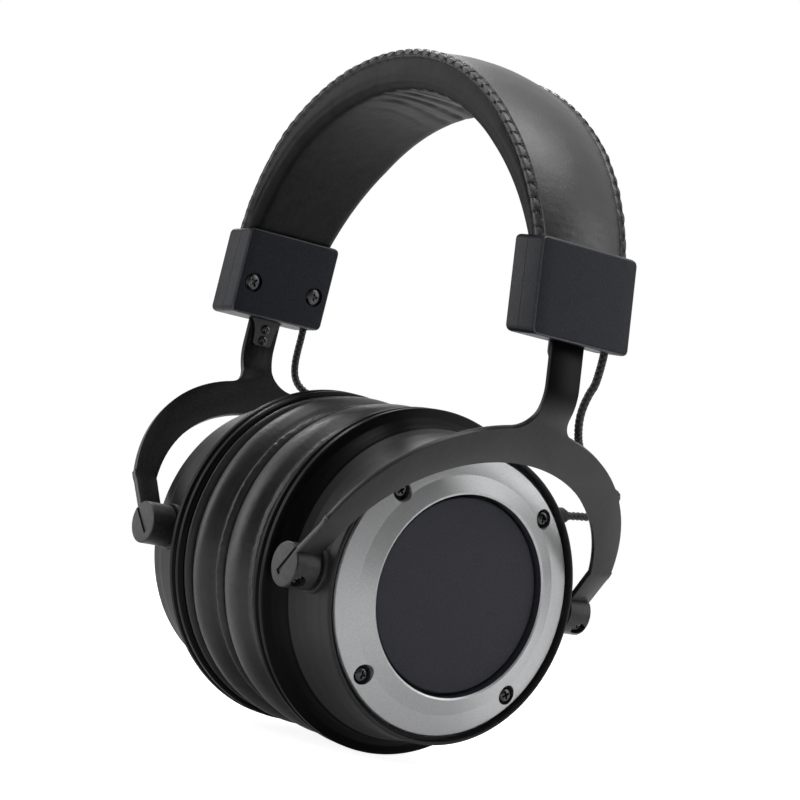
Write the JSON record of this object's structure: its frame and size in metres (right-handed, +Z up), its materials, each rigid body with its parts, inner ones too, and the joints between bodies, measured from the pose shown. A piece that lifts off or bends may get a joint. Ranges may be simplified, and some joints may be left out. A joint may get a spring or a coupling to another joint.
{
  "type": "wired headphones",
  "caption": "Full-size headphones with a padded arched band, sliding metal forks and round ear cups, each with a silver trim ring and a leather pad.",
  "frame": {"origin": "the middle of the underside of the head band, where it rests on the head", "axes": "+Z up along the height of the headphones, +X from the left cup to the right cup, -Y to the front"},
  "size_m": [0.1618, 0.1056, 0.2044],
  "materials": {
    "black_leather": "satin grain",
    "foam": "open cell",
    "spring_steel": "satin",
    "black_plastic": "fine texture",
    "black_aluminium": "black anodised, brushed",
    "black_screws": "black oxide",
    "silver_paint": "metallic satin",
    "matte_cap": "matte",
    "cord_black": "braided sleeve",
    "black_rubber": "matte",
    "clear_film": "thin film",
    "pad_cloth": "thin weave"
  },
  "bodies": {
    "headband": {"spring_band": "spring_steel", "pad_foam": "foam", "crown_foam": "foam", "cover_top": "black_leather", "cover_under": "black_leather", "bridge_cable": "cord_black", "band_rivets": "spring_steel", "housing_outer_left": "black_plastic", "housing_outer_right": "black_plastic", "housing_inner_left": "black_plastic", "housing_inner_right": "black_plastic", "housing_screws_left": "black_screws", "housing_screws_right": "black_screws", "slider_guide_left": "black_plastic", "slider_guide_right": "black_plastic", "detent_spring_left": "spring_steel", "detent_spring_right": "spring_steel"},
    "yoke_left": {"fork_left": "black_aluminium", "slider_strip_left": "spring_steel", "stem_screws_left": "black_screws", "pivot_blocks_left": "black_plastic", "clamp_screws_left": "black_screws", "pivot_clips_left": "spring_steel", "link_cable_left": "cord_black"},
    "yoke_right": {"fork_right": "black_aluminium", "slider_strip_right": "spring_steel", "stem_screws_right": "black_screws", "pivot_blocks_right": "black_plastic", "clamp_screws_right": "black_screws", "pivot_clips_right": "spring_steel", "link_cable_right": "cord_black"},
    "cup_left": {"ear_cup_left": "black_plastic", "trim_ring_left": "silver_paint", "trim_screws_left": "black_screws", "centre_cap_left": "matte_cap", "baffle_left": "black_plastic", "baffle_screws_left": "black_screws", "driver_frame_left": "black_plastic", "driver_magnet_left": "spring_steel", "diaphragm_left": "clear_film", "damping_foam_left": "foam", "ear_pad_left": "black_leather", "ear_cloth_left": "pad_cloth", "cable_gland_left": "black_rubber", "jack_socket_left": "spring_steel"},
    "cup_right": {"ear_cup_right": "black_plastic", "trim_ring_right": "silver_paint", "trim_screws_right": "black_screws", "centre_cap_right": "matte_cap", "baffle_right": "black_plastic", "baffle_screws_right": "black_screws", "driver_frame_right": "black_plastic", "driver_magnet_right": "spring_steel", "diaphragm_right": "clear_film", "damping_foam_right": "foam", "ear_pad_right": "black_leather", "ear_cloth_right": "pad_cloth", "cable_gland_right": "black_rubber"}
  },
  "joints": [
    {"name": "yoke_slide_right", "type": "slide", "parent": "headband", "child": "yoke_right", "axis": [0.1063, 0, -0.9943], "range_m": [-0.0067, 0.0098]},
    {"name": "yoke_slide_left", "type": "slide", "parent": "headband", "child": "yoke_left", "axis": [-0.1063, 0, -0.9943], "range_m": [-0.0034, 0.0131]},
    {"name": "cup_tilt_right", "type": "hinge", "parent": "yoke_right", "child": "cup_right", "pos_m": [0.03829, 0, -0.14119], "axis": [0, 1, 0], "range_deg": [-8, 8], "deforming": ["ear_pad_right", "link_cable_right"]},
    {"name": "cup_tilt_left", "type": "hinge", "parent": "yoke_left", "child": "cup_left", "pos_m": [-0.03794, 0, -0.1379], "axis": [0, 1, 0], "range_deg": [-8, 8], "deforming": ["ear_pad_left", "link_cable_left"]}
  ]
}
